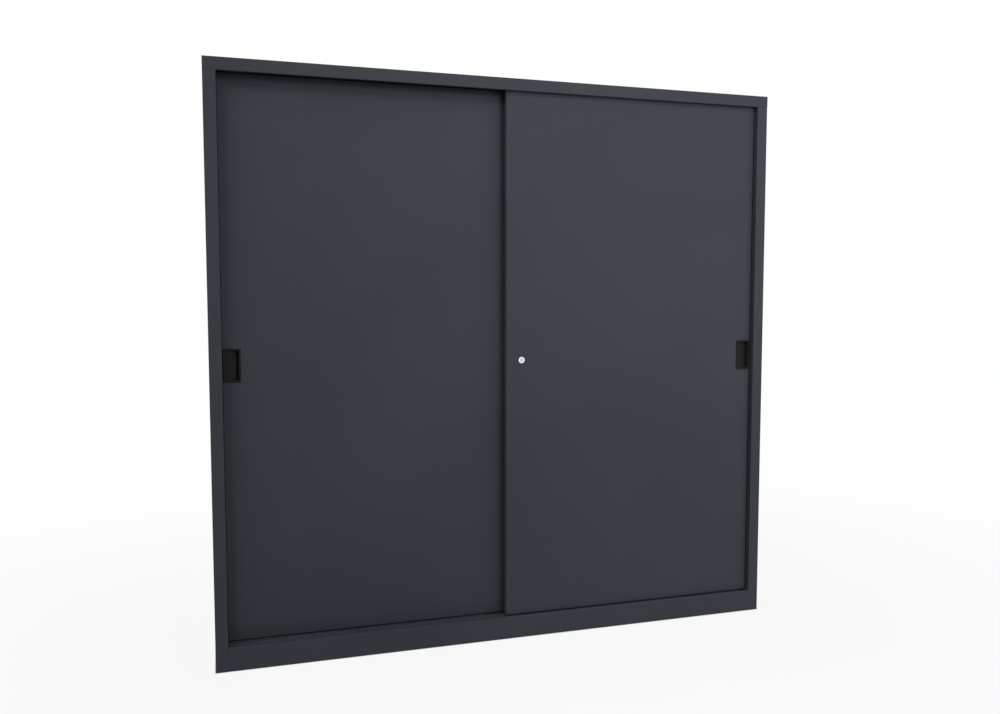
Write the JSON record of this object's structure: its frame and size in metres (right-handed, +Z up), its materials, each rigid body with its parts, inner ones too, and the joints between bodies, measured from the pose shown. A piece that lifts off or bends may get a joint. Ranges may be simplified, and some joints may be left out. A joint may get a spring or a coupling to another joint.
{
  "type": "sliding door cabinet",
  "caption": "Wide steel storage cabinet with passing sliding doors on a lower track, flush pulls, a lock and hook-in shelves behind.",
  "frame": {"origin": "on the floor under the middle of the cabinet's plan", "axes": "+X to the right seen from the front, +Y to the back, +Z up; the doors face -Y"},
  "size_m": [2, 0.42, 1.95],
  "materials": {
    "carcass_coat": "fine-textured anthracite powder coat, satin to matt",
    "door_coat": "fine-textured anthracite powder coat, satin to matt",
    "zinc_steel": "bright zinc plate",
    "black_plastic": "fine-grained moulded black",
    "black_nylon": "black nylon, smooth",
    "dark_rubber": "plain moulded rubber",
    "bright_chrome": "polished plate"
  },
  "bodies": {
    "carcass": {"top_panel": "carcass_coat", "bottom_panel": "carcass_coat", "front_plinth": "carcass_coat", "upper_guide_track": "carcass_coat", "lower_track": "carcass_coat", "partition_front_post": "carcass_coat", "partition_rear_post": "carcass_coat", "partition_panel": "carcass_coat", "rear_travel_stop": "dark_rubber", "front_travel_stop": "dark_rubber", "left_side_panel": "carcass_coat", "left_back_panel": "carcass_coat", "left_base_rail": "zinc_steel", "left_front_foot": "zinc_steel", "left_front_upright": "carcass_coat", "left_rear_foot": "zinc_steel", "left_rear_upright": "carcass_coat", "left_shelf_1": "carcass_coat", "left_shelf_2": "carcass_coat", "left_shelf_3": "carcass_coat", "left_shelf_4": "carcass_coat", "right_side_panel": "carcass_coat", "right_back_panel": "carcass_coat", "right_base_rail": "zinc_steel", "right_front_foot": "zinc_steel", "right_front_upright": "carcass_coat", "right_rear_foot": "zinc_steel", "right_rear_upright": "carcass_coat", "right_shelf_1": "carcass_coat", "right_shelf_2": "carcass_coat", "right_shelf_3": "carcass_coat", "right_shelf_4": "carcass_coat"},
    "left_roller_1": {"left_roller_1": "black_nylon"},
    "left_roller_2": {"left_roller_2": "black_nylon"},
    "left_door": {"left_door_panel": "door_coat", "left_door_stiffener": "zinc_steel", "left_pull": "black_plastic", "left_top_guide_1": "black_nylon", "left_roller_bracket_1": "zinc_steel", "left_roller_axle_1": "zinc_steel", "left_top_guide_2": "black_nylon", "left_roller_bracket_2": "zinc_steel", "left_roller_axle_2": "zinc_steel", "lock_strike": "zinc_steel"},
    "right_roller_1": {"right_roller_1": "black_nylon"},
    "right_roller_2": {"right_roller_2": "black_nylon"},
    "right_door": {"right_door_panel": "door_coat", "right_door_stiffener": "zinc_steel", "right_pull": "black_plastic", "right_top_guide_1": "black_nylon", "right_roller_bracket_1": "zinc_steel", "right_roller_axle_1": "zinc_steel", "right_top_guide_2": "black_nylon", "right_roller_bracket_2": "zinc_steel", "right_roller_axle_2": "zinc_steel", "lock_housing": "bright_chrome", "lock_nut": "zinc_steel"},
    "lock_barrel": {"lock_plug": "bright_chrome", "lock_cam": "zinc_steel", "lock_cam_screw": "zinc_steel"}
  },
  "joints": [
    {"name": "left_door_slide", "type": "slide", "parent": "carcass", "child": "left_door", "axis": [1, 0, 0], "range_m": [0, 0.88]},
    {"name": "right_door_slide", "type": "slide", "parent": "carcass", "child": "right_door", "axis": [1, 0, 0], "range_m": [-0.88, 0]},
    {"name": "lock_turn", "type": "hinge", "parent": "right_door", "child": "lock_barrel", "pos_m": [0.0413, -0.19, 0.988], "axis": [0, -1, 0], "range_deg": [0, 90]},
    {"name": "left_roller_1_turn", "type": "hinge", "parent": "left_door", "child": "left_roller_1", "pos_m": [-0.8497, -0.1355, 0.0887], "axis": [0, 1, 0], "continuous": true},
    {"name": "left_roller_2_turn", "type": "hinge", "parent": "left_door", "child": "left_roller_2", "pos_m": [-0.0992, -0.1355, 0.0887], "axis": [0, 1, 0], "continuous": true},
    {"name": "right_roller_1_turn", "type": "hinge", "parent": "right_door", "child": "right_roller_1", "pos_m": [0.096, -0.1775, 0.0887], "axis": [0, 1, 0], "continuous": true},
    {"name": "right_roller_2_turn", "type": "hinge", "parent": "right_door", "child": "right_roller_2", "pos_m": [0.8465, -0.1775, 0.0887], "axis": [0, 1, 0], "continuous": true}
  ],
  "couplings": [
    {"joint": "left_roller_1_turn", "follows": "left_door_slide", "rad_per_m": 83.333},
    {"joint": "left_roller_2_turn", "follows": "left_door_slide", "rad_per_m": 83.333},
    {"joint": "right_roller_1_turn", "follows": "right_door_slide", "rad_per_m": 83.333},
    {"joint": "right_roller_2_turn", "follows": "right_door_slide", "rad_per_m": 83.333}
  ]
}
